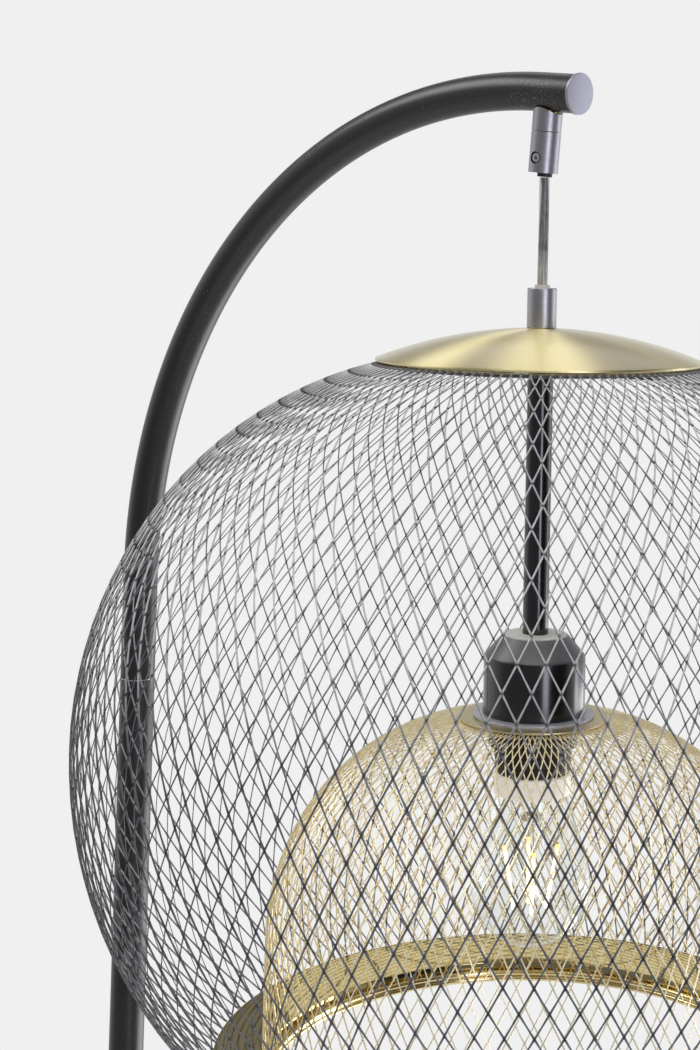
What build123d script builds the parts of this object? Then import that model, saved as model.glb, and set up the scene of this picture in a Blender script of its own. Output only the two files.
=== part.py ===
from build123d import *
import math
import os

# Arched floor lamp with a hanging double mesh shade. Millimetres, +Z up.
# Origin: on the floor, on the pole's axis. The arch reaches along +X.

# Stand: steel tube sections on a weighted round base
overall_height = 1550.0
tube_d = 20.0
tube_wall = 1.5
bend_radius = 278.5
bend_sweep = 94.7
arch_start = 61.5
arch_tail = 24.5
end_disc = 1.5
end_disc_d = 21.4
end_plug = 8.0
spigot_length = 60.0
spigot_lip = 0.5
lead_d = 5.0
lead_play = 0.4
lead_clear = 3.0
slip = 0.1

base_d = 300.0
base_sheet = 1.2
base_edge = 5.0
weight_t = 14.0
pad_t = 2.0
pad_inset = 7.0
stud_d = 10.0
stud_bore = 6.4
stud_grip = 18.0
washer_d = 24.0
washer_t = 2.0
nut_flats = 17.0
nut_t = 6.0
recess_play = 5.0
foot_plug_length = 26.0
grommet_d = 10.0
grommet_lip = 2.0

# Hanger under the arch end, square to the sloping tail
hanger_setback = 19.9
hanger_d = 15.2
saddle_length = 10.2
saddle_stand_off = 0.8
nipple_d = 10.0
nipple_bore = 6.5
hanger_nut_d = 13.0
hanger_nut_t = 2.5
grip_seam = 0.1
grip_length = 20.8
grip_bore = 8.4
grip_thread_depth = 7.0
grip_screw_d = 4.6
grip_screw_recess_d = 6.2
grip_screw_recess = 0.9
grip_screw_rise = 7.5
screw_socket = 2.0
collar_d = 7.7
collar_length = 2.0

# Cable and lower coupler
cord_d = 5.3
cord_free = 54.4
coupler_d = 15.0
coupler_length = 20.0
coupler_collar_length = 1.6
coupler_engage = 9.0
coupler_screw_d = 4.0
coupler_screw_drop = 5.5

# Outer shade: two round arcs, above and below the widest circle
shade_r = 224.6
crown_r = 187.0
bowl_r = 201.3
mesh_t = 0.5
mouth_drop = 153.4
lattice_count = 16
lattice_rows = 6
lattice_bar = 5.0
lattice_edge = 10.0
cap_r = 83.4
cap_rise = 16.1
cap_lip = 2.0
cap_overlap = 3.4
cap_sheet = 1.2
cap_gap = 0.4
top_ring_width = 12.0
top_ring_t = 1.5
spider_arm = 12.0
spider_t = 2.0
spider_hub_d = 26.0
weld_gap = 0.15

# Lampholder on its threaded pipe
pipe_d = 10.0
pipe_bore = 7.0
rod_d = 13.0
rod_wall = 1.3
spacer_d = 15.0
spacer_gap = 0.6
cup_d = 51.0
cup_top_d = 32.0
cup_wall = 1.6
cup_shoulder = 10.8
cup_length = 39.0
cup_nut_flats = 14.0
cup_nut_t = 4.0
flange_d = 60.7
flange_t = 1.5
rod_length = 130.5

# Inner shade: quarter-round bell with a straight skirt
plate_width = 23.6
plate_t = 1.2
plate_dish = 7.5
bell_bend = 104.0
bell_skirt = 70.4
bell_overlap = 5.0
gold_ring_d = 74.0
gold_ring_t = 1.0
bead_r = 1.45
bead_pitch = 3.0
bead_inset = 0.3
bead_drop = 2.0
bead_sides = 20

# Lampholder insides, sized for a 27 mm Edison screw
holder_d = 39.6
holder_tip_d = 37.0
holder_skirt = 26.4
holder_bore = 30.4
holder_floor = 7.0
holder_boss = 10.0
holder_boss_d = 18.0
shell_d = 30.0
shell_bore = 27.6
shell_length = 22.0
clamp_ring_d = 45.0
clamp_ring_h = 13.0
contact_t = 1.2

# Filament bulb with a white collar round its neck
bulb_d = 60.0
bulb_drop = 84.6
bulb_neck_d = 34.8
glass_t = 0.8
bulb_gap = 0.4
bulb_collar_d = 38.4
bulb_collar_h = 10.0
bulb_collar_web = 1.2
bulb_cap_d = 26.2
bulb_cap_sheet = 0.5
bulb_cap_h = 24.0
insulator_seat = 3.0
insulator_rise = 1.0
tip_d = 9.0
tip_h = 2.4
stem_d = 9.0
stem_foot_t = 3.0
stem_wide_length = 24.0
stem_length = 60.0
anchor_t = 2.0
anchor_wall = 1.2
anchor_wire_d = 0.8
filament_d = 1.8
filament_top_r = 13.5
filament_low_r = 8.0
filament_top = 34.5
filament_low = 66.0
filament_count = 4

tube_r = tube_d / 2
tube_bore_r = tube_r - tube_wall
nodes = {}


def disc(radius, low, high, bore=0.0):
    """Round plate or tube on the Z axis between two heights."""
    body = Pos(0, 0, low) * Cylinder(radius, high - low, align=(Align.CENTER, Align.CENTER, Align.MIN))
    if bore > 0:
        body -= Pos(0, 0, low) * Cylinder(bore, high - low, align=(Align.CENTER, Align.CENTER, Align.MIN))
    return body


def hex_nut(flats, low, high, bore):
    """Six-sided nut on the Z axis."""
    outline = RegularPolygon(flats / 2, 6, major_radius=False)
    body = Pos(0, 0, low) * extrude(outline, high - low)
    return body - disc(bore, low, high)


def turned(points):
    """Solid of revolution from straight-sided (radius, height) corners."""
    outline = Polyline(*[(r, 0, z) for r, z in points], close=True)
    return revolve(make_face(outline), Axis.Z, 360)


# Base: felt pad on the floor, steel weight on it, pressed cover over both
weight_low = pad_t
weight_high = weight_low + weight_t
base_top = weight_high + base_sheet
stud_r = stud_d / 2
recess_d = nut_flats / math.cos(math.radians(30)) + 2 * recess_play
recess_d = max(recess_d, washer_d + recess_play)
recess_top = weight_low + washer_t + nut_t + 1.0
weight_r = base_d / 2 - base_sheet - slip
grommet_x = -(base_d / 2 - base_sheet / 2)
grommet_z = weight_low + weight_t / 2

pad = disc(base_d / 2 - pad_inset, 0, pad_t, recess_d / 2)
nodes["base_pad"] = pad

weight = disc(weight_r, weight_low, weight_high, stud_r + slip)
weight = chamfer(weight.edges().group_by(Axis.Z)[-1].sort_by(SortBy.RADIUS)[-1], base_edge)
weight -= disc(recess_d / 2, weight_low, recess_top)
lead_groove = Pos(grommet_x / 2, 0, grommet_z) * Box(-grommet_x, grommet_d + 4, lead_d + 2)
weight -= lead_groove - disc(recess_d / 2 - recess_play, 0, weight_high)
nodes["base_weight"] = weight

cover_outline = Pos(0, 0, pad_t / 2) * Cylinder(
    base_d / 2, base_top - pad_t / 2, align=(Align.CENTER, Align.CENTER, Align.MIN)
)
cover = fillet(cover_outline.edges().group_by(Axis.Z)[-1], base_edge)
cover -= disc(weight_r + slip, 0, weight_high - base_edge)
hollow_top = Pos(0, 0, weight_high - base_edge) * Cone(
    weight_r + slip, weight_r + slip - base_edge, base_edge, align=(Align.CENTER, Align.CENTER, Align.MIN)
)
cover -= hollow_top
cover -= disc(stud_r + slip, 0, base_top + 1)
grommet_hole = Pos(grommet_x, 0, grommet_z) * Rot(0, 90, 0) * Cylinder(grommet_d / 2 - grommet_lip / 2, 12)
nodes["base_cover"] = cover - grommet_hole

grommet_neck = grommet_d / 2 - grommet_lip / 2 - slip
grommet = Pos(grommet_x, 0, grommet_z) * Rot(0, 90, 0) * (
    Cylinder(grommet_neck, base_sheet + 2 * slip)
    + Pos(0, 0, -(base_sheet / 2 + slip + grommet_lip / 2)) * Cylinder(grommet_d / 2, grommet_lip)
)
grommet -= Pos(grommet_x, 0, grommet_z) * Rot(0, 90, 0) * Cylinder(lead_d / 2, 20)
grommet -= disc(base_d / 2 + slip, 0, base_top) - disc(base_d / 2 - base_sheet - slip, 0, base_top) - grommet_hole
nodes["lead_grommet"] = grommet

stud_low = recess_top - washer_t - nut_t
nodes["base_stud"] = disc(stud_r, stud_low, base_top + stud_grip, stud_bore / 2)
nodes["base_washer"] = disc(washer_d / 2, recess_top - washer_t, recess_top, stud_r + slip)
nodes["base_nut"] = hex_nut(nut_flats, stud_low, recess_top - washer_t, stud_r + slip)

# Pole: two straight sections and the arch, joined by lipped spigots
bend_z = overall_height - tube_r - bend_radius
seam_high = bend_z - arch_start
seam_low = (base_top + seam_high) / 2
lip = spigot_lip / 2
nodes["pole_lower"] = disc(tube_r, base_top, seam_low - lip, tube_bore_r)
nodes["pole_upper"] = disc(tube_r, seam_low + lip, seam_high - lip, tube_bore_r)
plug_bore = disc(stud_r + slip, base_top, base_top + stud_grip + 1)
nodes["pole_foot_plug"] = (
    disc(tube_bore_r - slip, base_top, base_top + foot_plug_length, stud_bore / 2) - plug_bore
)


def spigot(seam):
    """Turned joiner inside two tube ends, with a thin lip between them."""
    half = spigot_length / 2
    core = disc(tube_bore_r - slip, seam - half, seam + half)
    return core + disc(tube_r, seam - lip, seam + lip) - disc(lead_d / 2 + lead_play, seam - half, seam + half)


nodes["pole_spigots"] = Compound(children=[spigot(seam_low), spigot(seam_high)])

# Arch: straight start, one round bend past level, straight tail
sweep = math.radians(bend_sweep)


def on_bend(turn):
    """Point of the arch's centre line after turning through an angle in radians."""
    return Vector(bend_radius * (1 - math.cos(turn)), 0, bend_z + bend_radius * math.sin(turn))


bend_end = on_bend(sweep)
along = Vector(math.sin(sweep), 0, math.cos(sweep))
down = Vector(along.Z, 0, -along.X)
tail_end = bend_end + along * arch_tail
tube_end = tail_end - along * end_disc


def bent_run(start_z, turn):
    """Centre line from a height on the pole, up and round the bend through an angle."""
    rise = Line((0, 0, start_z), (0, 0, bend_z))
    return rise + ThreePointArc((0, 0, bend_z), on_bend(turn / 2), on_bend(turn))


def piped(route, start_z, radius):
    """Round bar swept along a centre line that starts upward on the pole's axis."""
    start = Plane(origin=(0, 0, start_z), z_dir=(0, 0, 1))
    return Solid.sweep((start * Circle(radius)).face(), path=route)


arch_low = seam_high + lip
arch_route = (bent_run(arch_low, sweep) + Line(bend_end, tube_end)).wire()
arch = piped(arch_route, arch_low, tube_r) - piped(arch_route, arch_low, tube_bore_r)

hang_point = tail_end - along * hanger_setback
hang = Plane(origin=hang_point, x_dir=along, z_dir=down * -1)
nipple_r = nipple_d / 2
arch -= hang * disc(nipple_r + slip, -tube_d, 0)
nodes["arch_tube"] = arch

cap_plane = Plane(origin=tail_end, x_dir=(0, 1, 0), z_dir=along)
end_cap = disc(end_disc_d / 2, -end_disc, 0) + disc(tube_bore_r - slip, -end_disc - end_plug, -end_disc)
nodes["arch_end_cap"] = cap_plane * end_cap

# Hanger: nipple through the tube's underside, coped saddle, cord grip
nut_high = -math.sqrt(tube_bore_r**2 - (hanger_nut_d / 2) ** 2) + hanger_nut_t
nut_blank = disc(hanger_nut_d / 2, -tube_d, nut_high, nipple_r + slip)
tube_inside = Rot(0, 90, 0) * Cylinder(tube_bore_r - slip, 4 * tube_d)
nodes["hanger_nut"] = hang * (nut_blank & tube_inside)

saddle_low = -(tube_r + saddle_length)
grip_high = saddle_low - grip_seam
grip_low = grip_high - grip_length
nodes["hanger_nipple"] = hang * disc(nipple_r, grip_high - grip_thread_depth + 0.5, nut_high + 0.5, nipple_bore / 2)
saddle = disc(hanger_d / 2, saddle_low, 0, nipple_r + slip)
saddle -= Rot(0, 90, 0) * Cylinder(tube_r + saddle_stand_off, 4 * tube_d)
nodes["hanger_saddle"] = hang * saddle.solids().sort_by(Axis.Z)[0]

screw_z = grip_low + grip_screw_rise
screw_face = hanger_d / 2 - grip_screw_recess
cord_r = cord_d / 2
cord_shift = grip_bore / 2 - cord_r
screw_tip = cord_r - cord_shift
toward = Pos(0, 0, screw_z) * Rot(90, 0, 0)
grip = disc(hanger_d / 2, grip_low, grip_high, grip_bore / 2)
grip -= disc(nipple_r + slip, grip_high - grip_thread_depth, grip_high)
grip -= toward * disc(grip_screw_d / 2 + slip, 0, hanger_d)
grip -= toward * disc(grip_screw_recess_d / 2, screw_face, hanger_d)
nodes["cord_grip"] = hang * grip
socket = extrude(RegularPolygon(screw_socket / 2, 6, major_radius=False), 2 * screw_socket)
grub = disc(grip_screw_d / 2, screw_tip, screw_face) - Pos(0, 0, screw_face - screw_socket) * socket
nodes["grip_screw"] = hang * (toward * grub)
collar_plane = hang * Pos(0, cord_shift, 0)
collar_low = grip_low - collar_length
nodes["grip_collar"] = collar_plane * disc(collar_d / 2, collar_low, grip_low, cord_r)

# Cable: hangs plumb from the grip's mouth to the coupler
cord_top = (collar_plane * Pos(0, 0, collar_low)).position
shade_x = cord_top.X
shade_y = cord_top.Y
slant = cord_r * abs(along.Z) + slip
cord_high = cord_top.Z - slant
cord_low = cord_high - cord_free
axis = Pos(shade_x, shade_y, 0)
nodes["suspension_cord"] = axis * disc(cord_r, cord_low, cord_high)

# Coupler: round body on the threaded pipe, with a collar round the cable
coupler_high = cord_low - coupler_collar_length
coupler_low = coupler_high - coupler_length
pipe_r = pipe_d / 2
pipe_high = coupler_low + coupler_engage
coupler_screw_z = coupler_high - coupler_screw_drop
back = Pos(0, 0, coupler_screw_z) * Rot(-90, 0, 0)
nodes["coupler_collar"] = axis * disc(collar_d / 2, coupler_high, cord_low)
coupler = disc(coupler_d / 2, coupler_low, coupler_high)
coupler -= disc(pipe_r + slip, coupler_low, pipe_high + slip)
coupler -= back * disc(coupler_screw_d / 2 + slip, coupler_d / 4, coupler_d)
nodes["coupler_body"] = axis * coupler
nodes["coupler_screw"] = axis * back * disc(coupler_screw_d / 2, coupler_d / 4, coupler_d / 2 - 0.6)

# Shade heights, counted from the widest circle of the outer mesh
cap_top = coupler_low - slip
crown_x = shade_r - crown_r
bowl_x = shade_r - bowl_r
mesh_top_r = cap_r - cap_overlap
lip_seat = math.sqrt(crown_r**2 - (cap_r - cap_sheet - crown_x) ** 2) + cap_gap
cap_height = cap_rise + cap_lip
centre_z = cap_top - cap_height - lip_seat
shade = Pos(shade_x, shade_y, centre_z)


def dome(radius, rise, low):
    """Spherical cap of a given rim radius and rise, standing on a height."""
    ball = (radius**2 + rise**2) / (2 * rise)
    return Pos(0, 0, low + rise - ball) * Sphere(ball) & disc(radius, low, low + rise + 1)


# Cap: shallow spun dome with a turned-down lip
dome_low = lip_seat + cap_lip
cap_outer = dome(cap_r, cap_rise, dome_low) + disc(cap_r, lip_seat, dome_low)
cap_inner_r = cap_r - cap_sheet
cap_inner = dome(cap_inner_r, cap_rise - 0.4, dome_low - cap_sheet + 0.4) + disc(
    cap_inner_r, lip_seat, dome_low - cap_sheet + 0.4
)
apex = lip_seat + cap_height
apex_inner = dome_low - cap_sheet + cap_rise
cap = cap_outer - cap_inner - disc(pipe_r + slip, 0, apex + 1)
nodes["shade_cap"] = shade * cap


def round_arc(middle_x, radius, turn_from, turn_to):
    """Piece of a circle in the XZ plane, its middle on the X axis, between two angles in radians."""
    points = []
    for turn in (turn_from, (turn_from + turn_to) / 2, turn_to):
        points.append((middle_x + radius * math.cos(turn), 0, radius * math.sin(turn)))
    return ThreePointArc(*points)


turn_top = math.acos((mesh_top_r - crown_x) / crown_r)
turn_low = -math.asin(mouth_drop / bowl_r)


def shade_wall(skin):
    """Thin wall of revolution along two round arcs with one widest circle."""
    outer_up = round_arc(crown_x, crown_r, 0, turn_top)
    outer_low = round_arc(bowl_x, bowl_r, turn_low, 0)
    inner_up = round_arc(crown_x, crown_r - skin, 0, turn_top)
    inner_low = round_arc(bowl_x, bowl_r - skin, turn_low, 0)
    rim_top = Line(outer_up @ 1, inner_up @ 1)
    rim_low = Line(inner_low @ 0, outer_low @ 0)
    wall = make_face(outer_low + outer_up + rim_top + inner_up + inner_low + rim_low)
    return revolve(wall, Axis.Z, 360)


# Openings: a plain grid of tall diamonds in staggered rows, coarser than the real mesh
def on_shade(length):
    """Radius, height and slope angle at an arc length along the shade, up from its widest circle."""
    middle_x, radius = (crown_x, crown_r) if length >= 0 else (bowl_x, bowl_r)
    turn = length / radius
    return middle_x + radius * math.cos(turn), radius * math.sin(turn), turn


arc_low = bowl_r * turn_low + lattice_edge
arc_high = crown_r * turn_top - lattice_edge
lattice_pitch = (arc_high - arc_low) / lattice_rows
half_bar = lattice_bar / 2
openings = []
for row in range(lattice_rows + 1):
    radius, height, turn = on_shade(arc_low + row * lattice_pitch)
    half_wide = math.pi * radius / lattice_count
    slant = math.atan2(half_wide, lattice_pitch)
    wide = half_wide - half_bar / math.cos(slant)
    tall = lattice_pitch - half_bar / math.sin(slant)
    foot = wide * (1 - half_bar / tall)
    corners = [(-wide, 0), (0, -tall), (wide, 0), (0, tall)]
    if row == 0:
        corners = [(-foot, half_bar), (foot, half_bar), (0, tall)]
    if row == lattice_rows:
        corners = [(-foot, -half_bar), (0, -tall), (foot, -half_bar)]
    facing = Plane(origin=(radius, 0, height), x_dir=(0, 1, 0), z_dir=(math.cos(turn), 0, math.sin(turn)))
    opening = extrude(facing * make_face(Polyline(*corners, close=True)), lattice_pitch / 2, both=True)
    for count in range(lattice_count):
        openings.append(Rot(0, 0, 360 / lattice_count * (count + 0.5 * (row % 2))) * opening)
nodes["outer_mesh"] = shade * (shade_wall(mesh_t) - openings)

# Top ring under the mesh edge, carried by a three-armed spider on the pipe
mesh_edge_r = crown_x + (crown_r - mesh_t) * math.cos(turn_top)
ring_high = (crown_r - mesh_t) * math.sin(turn_top) - weld_gap
ring_low = ring_high - top_ring_t
nodes["mesh_top_ring"] = shade * disc(mesh_edge_r, ring_low, ring_high, mesh_edge_r - top_ring_width)
spider_low = ring_low - spider_t
arm_reach = mesh_edge_r - top_ring_width / 2
spider = disc(spider_hub_d / 2, spider_low, ring_low)
for turn in (0, 120, 240):
    arm = Pos(arm_reach / 2, 0, spider_low + spider_t / 2) * Box(arm_reach, spider_arm, spider_t)
    spider += Rot(0, 0, turn) * arm
nodes["shade_spider"] = shade * (spider - disc(pipe_r + slip, spider_low, ring_low))
nodes["cap_spacer"] = shade * disc(spacer_d / 2, ring_low, apex_inner - spacer_gap, pipe_r + slip)

# Down rod: sleeve over the pipe between spider and lampholder cup
cup_high = spider_low - rod_length
cup_shoulder_z = cup_high - cup_shoulder
cup_low = cup_high - cup_length
nodes["down_rod"] = shade * disc(rod_d / 2, cup_high, spider_low, rod_d / 2 - rod_wall)

# Lampholder cup: flat top, cone to the shoulder, straight wall
cup_r = cup_d / 2
cup_top_r = cup_top_d / 2
cup_corners = [
    (pipe_r + slip, cup_high),
    (cup_top_r, cup_high),
    (cup_r, cup_shoulder_z),
    (cup_r, cup_low),
    (cup_r - cup_wall, cup_low),
    (cup_r - cup_wall, cup_shoulder_z - cup_wall / 2),
    (cup_top_r - cup_wall / 2, cup_high - cup_wall),
    (pipe_r + slip, cup_high - cup_wall),
]
nodes["holder_cup"] = shade * turned(cup_corners)
cup_nut_high = cup_high - cup_wall
nodes["cup_nut"] = shade * hex_nut(cup_nut_flats, cup_nut_high - cup_nut_t, cup_nut_high, pipe_r + slip)

# Flange, gold ring of the inner shade and clamp ring, stacked on the holder's skirt
holder_r = holder_d / 2
flange_low = cup_low - flange_t
gold_low = flange_low - gold_ring_t
nodes["holder_flange"] = shade * disc(flange_d / 2, flange_low, cup_low, holder_r + slip)
nodes["inner_top_ring"] = shade * disc(gold_ring_d / 2, gold_low, flange_low, holder_r + slip)
holder_low = gold_low - holder_skirt
collar_high = holder_low - bulb_gap
cap_low = collar_high + slip
cap_high = cap_low + bulb_cap_h
tip_low = cap_high + insulator_rise
contact_low = tip_low + tip_h + slip
holder_inside = contact_low + contact_t
floor_high = holder_inside + holder_floor
boss_high = floor_high + holder_boss
tip_r = holder_tip_d / 2
clamp_low = gold_low - clamp_ring_h
body_corners = [
    (0, boss_high),
    (holder_boss_d / 2, boss_high),
    (holder_r, floor_high),
    (holder_r, clamp_low),
    (tip_r, holder_low),
    (holder_bore / 2, holder_low),
    (holder_bore / 2, holder_inside),
    (0, holder_inside),
]
body = turned(body_corners) - disc(pipe_r + slip, boss_high - holder_boss / 2, boss_high)
nodes["holder_body"] = shade * body
nodes["holder_ring"] = shade * disc(clamp_ring_d / 2, clamp_low, gold_low, holder_r + slip)
nodes["holder_shell"] = shade * disc(shell_d / 2, holder_inside - shell_length, holder_inside, shell_bore / 2)
pipe_low = boss_high - holder_boss / 2
nodes["lamp_pipe"] = Pos(shade_x, shade_y, 0) * disc(pipe_r, centre_z + pipe_low, pipe_high, pipe_bore / 2)
nodes["holder_contact"] = shade * disc(tip_d / 2, contact_low, holder_inside)

# Inner shade: mesh bell from the gold ring to the double-bead ring
mouth_r = bowl_x + bowl_r * math.cos(turn_low)
bell_r = mouth_r - plate_width
bell_mid_r = bell_r - bell_bend
bell_high = gold_low - slip
bell_mid_z = bell_high - bell_bend
bell_low = bell_mid_z - bell_skirt
bell_edge_r = gold_ring_d / 2 - bell_overlap


def bell_line(skin):
    """Bell profile at a depth below the outer face: quarter round, then straight."""
    bend = bell_bend - skin
    start_z = bell_mid_z + math.sqrt(bend**2 - (bell_edge_r - bell_mid_r) ** 2)
    start = (bell_edge_r, 0, start_z)
    half = bend * math.sqrt(0.5)
    middle = (bell_mid_r + half, 0, bell_mid_z + half)
    side = (bell_mid_r + bend, 0, bell_mid_z)
    return start, ThreePointArc(start, middle, side), side


outer_start, outer_bend, outer_side = bell_line(weld_gap)
inner_start, inner_bend, inner_side = bell_line(weld_gap + mesh_t)
outer_foot = (outer_side[0], 0, bell_low)
inner_foot = (inner_side[0], 0, bell_low)
bell_face = make_face(
    outer_bend
    + Line(outer_side, outer_foot)
    + Line(outer_foot, inner_foot)
    + Line(inner_foot, inner_side)
    + inner_bend
    + Line(inner_start, outer_start)
)
nodes["inner_mesh"] = shade * revolve(bell_face, Axis.Z, 360)

bead_mid = inner_foot[0] - bead_inset - bead_r
bead_low = bell_low + bead_r - bead_drop
bead_high = bead_low + bead_pitch


def bead_corners(height, turn_from, turn_to):
    """Corners of one bead's round section, at even steps between two angles in degrees."""
    points = []
    for step in range(bead_sides + 1):
        turn = math.radians(turn_from + (turn_to - turn_from) * step / bead_sides)
        points.append((bead_mid + bead_r * math.cos(turn), height + bead_r * math.sin(turn)))
    return points


ring_corners = bead_corners(bead_low, 60, -240) + bead_corners(bead_high, 240, -60)
nodes["inner_bottom_ring"] = shade * turned(ring_corners)

# Bottom plate: dished ring between the outer mesh edge and the bell's skirt
plate_out = mouth_r
plate_in = outer_side[0] + weld_gap
plate_high = -mouth_drop - weld_gap
plate_corners = [
    (plate_out, plate_high),
    (plate_in, plate_high - plate_dish),
    (plate_in, plate_high - plate_dish - plate_t),
    (plate_out, plate_high - plate_t),
]
nodes["bottom_plate"] = shade * turned(plate_corners)

# Bulb: hollow glass in a white collar, screw cap, insulator, tip, stem and filaments
bulb_r = bulb_d / 2
neck_r = bulb_neck_d / 2
web_low = collar_high - bulb_collar_web
bulb_high = web_low - slip
collar_end = collar_high - bulb_collar_h
globe_z = collar_high - bulb_drop + bulb_r
collar = disc(bulb_collar_d / 2, collar_end, collar_high) - disc(neck_r + slip, collar_end, web_low)
nodes["bulb_collar"] = shade * (collar - disc(bulb_cap_d / 2 - bulb_cap_sheet, web_low, collar_high))

neck_rise = collar_end - globe_z
neck_reach = math.hypot(neck_r, neck_rise)
lean = math.atan2(neck_rise, neck_r) - math.acos(bulb_r / neck_reach)


def glass_line(skin):
    """Bulb profile at a depth below the outer face: straight neck, cone, round globe."""
    radius = bulb_r - skin
    corner = (neck_r - skin, 0, collar_end - skin * math.tan(lean / 2))
    shoulder = (radius * math.cos(lean), 0, globe_z + radius * math.sin(lean))
    half = (lean - math.pi / 2) / 2
    belly = (radius * math.cos(half), 0, globe_z + radius * math.sin(half))
    bottom = (0, 0, globe_z - radius)
    neck = (neck_r - skin, 0, bulb_high)
    return neck, bottom, Polyline(neck, corner, shoulder) + ThreePointArc(shoulder, belly, bottom)


glass_neck, glass_bottom, glass_outer = glass_line(0)
bore_neck, bore_bottom, glass_inner = glass_line(glass_t)
glass_face = make_face(glass_outer + Line(glass_bottom, bore_bottom) + glass_inner + Line(bore_neck, glass_neck))
nodes["bulb_glass"] = shade * revolve(glass_face, Axis.Z, 360)
cap_bore = bulb_cap_d / 2 - bulb_cap_sheet
nodes["bulb_cap"] = shade * disc(bulb_cap_d / 2, cap_low, cap_high, cap_bore)
insulator_h = insulator_seat + insulator_rise
insulator = Cone(cap_bore - slip, tip_d / 2, insulator_h, align=(Align.CENTER, Align.CENTER, Align.MIN))
nodes["bulb_insulator"] = shade * Pos(0, 0, cap_high - insulator_seat) * insulator
nodes["bulb_contact"] = shade * disc(tip_d / 2, tip_low, tip_low + tip_h)
stem_r = stem_d / 2
stem_low = bulb_high - stem_length
foot_low = bulb_high - stem_foot_t
wide_low = bulb_high - stem_wide_length
stem_foot = disc(neck_r - glass_t - slip, foot_low, bulb_high)
nodes["bulb_stem"] = shade * (stem_foot + disc(stem_r, wide_low, foot_low) + disc(stem_r / 2, stem_low, wide_low))


def rod_between(first, second, diameter):
    """Round wire between two points."""
    start = Vector(*first)
    span = Vector(*second) - start
    plane = Plane(origin=start, z_dir=span)
    return plane * Cylinder(diameter / 2, span.length, align=(Align.CENTER, Align.CENTER, Align.MIN))


def around(radius, turn, height):
    """Point at a radius and angle round the bulb's axis."""
    return radius * math.cos(turn), radius * math.sin(turn), height


anchor_low = stem_low + anchor_t
anchor_high = wide_low + anchor_t
filaments = disc(stem_r / 2 + anchor_wall, anchor_low, anchor_low + anchor_t, stem_r / 2 + slip)
filaments += disc(stem_r + anchor_wall, anchor_high, anchor_high + anchor_t, stem_r + slip)
for count in range(filament_count):
    turn = 2 * math.pi * (count + 0.5) / filament_count
    top = around(filament_top_r, turn, bulb_high - filament_top)
    low = around(filament_low_r, turn, bulb_high - filament_low)
    hub_top = around(stem_r + anchor_wall / 2, turn, anchor_high + anchor_t / 2)
    hub_low = around(stem_r / 2 + anchor_wall / 2, turn, anchor_low + anchor_t / 2)
    filaments += rod_between(top, low, filament_d)
    filaments += rod_between(hub_top, top, anchor_wire_d)
    filaments += rod_between(hub_low, low, anchor_wire_d)
nodes["bulb_filaments"] = shade * filaments

# Lead inside the pole and arch, through the spigots to the hanger
lead_low = base_top + foot_plug_length + 2.0
lead_stop = hanger_nut_d / 2 + lead_clear - (arch_tail - hanger_setback)
lead_turn = sweep - max(lead_stop, 0) / bend_radius
lead_route = bent_run(lead_low, lead_turn).wire()
nodes["pole_lead"] = piped(lead_route, lead_low, lead_d / 2)

os.makedirs("parts", exist_ok=True)
for name, body in nodes.items():
    export_step(body, "parts/" + name + ".step")

print("arch length", round(arch_route.length, 1))
print("shade axis", round(shade_x, 2), round(shade_y, 2), "widest circle at", round(centre_z, 2))
print("cord from", round(cord_high, 2), "to", round(cord_low, 2), "straight, no bend radii")
print("seams at", round(seam_low, 2), round(seam_high, 2))
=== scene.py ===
import math

import bmesh
import bpy
import numpy as np
from mathutils import Matrix, Vector


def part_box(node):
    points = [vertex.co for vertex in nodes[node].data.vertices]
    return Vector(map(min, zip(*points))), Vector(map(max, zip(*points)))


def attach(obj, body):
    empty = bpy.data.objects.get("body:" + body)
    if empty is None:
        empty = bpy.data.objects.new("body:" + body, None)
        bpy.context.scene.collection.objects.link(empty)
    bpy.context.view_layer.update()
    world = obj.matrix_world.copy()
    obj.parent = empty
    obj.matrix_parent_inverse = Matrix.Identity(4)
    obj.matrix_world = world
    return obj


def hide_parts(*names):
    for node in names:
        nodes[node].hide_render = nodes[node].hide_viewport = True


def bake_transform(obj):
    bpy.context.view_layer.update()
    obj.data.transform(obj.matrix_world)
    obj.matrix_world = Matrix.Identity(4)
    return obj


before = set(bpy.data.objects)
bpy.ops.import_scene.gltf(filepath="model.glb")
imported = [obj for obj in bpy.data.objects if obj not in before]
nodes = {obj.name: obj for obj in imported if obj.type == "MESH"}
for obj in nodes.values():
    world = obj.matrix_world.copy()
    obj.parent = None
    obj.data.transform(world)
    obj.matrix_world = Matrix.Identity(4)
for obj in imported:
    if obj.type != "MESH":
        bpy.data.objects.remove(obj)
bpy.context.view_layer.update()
scene = bpy.context.scene
scene.view_settings.view_transform = "Standard"
mm = 0.001

# Studio: a plain pale floor under the lamp and a pale room round it, with soft lamp panels.
# The room is darker on the viewer's side and above the paper wall, with one dark screen to the right,
# as a real studio is, so that metal keeps its dark bands.


def linear(code):
    """Linear colour of an sRGB hex code: c / 12.92 where dark, else ((c + 0.055) / 1.055) ** 2.4."""
    c = np.array([int(code[i : i + 2], 16) for i in (1, 3, 5)]) / 255
    return (*np.where(c <= 0.04045, c / 12.92, ((c + 0.055) / 1.055) ** 2.4), 1.0)


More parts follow.
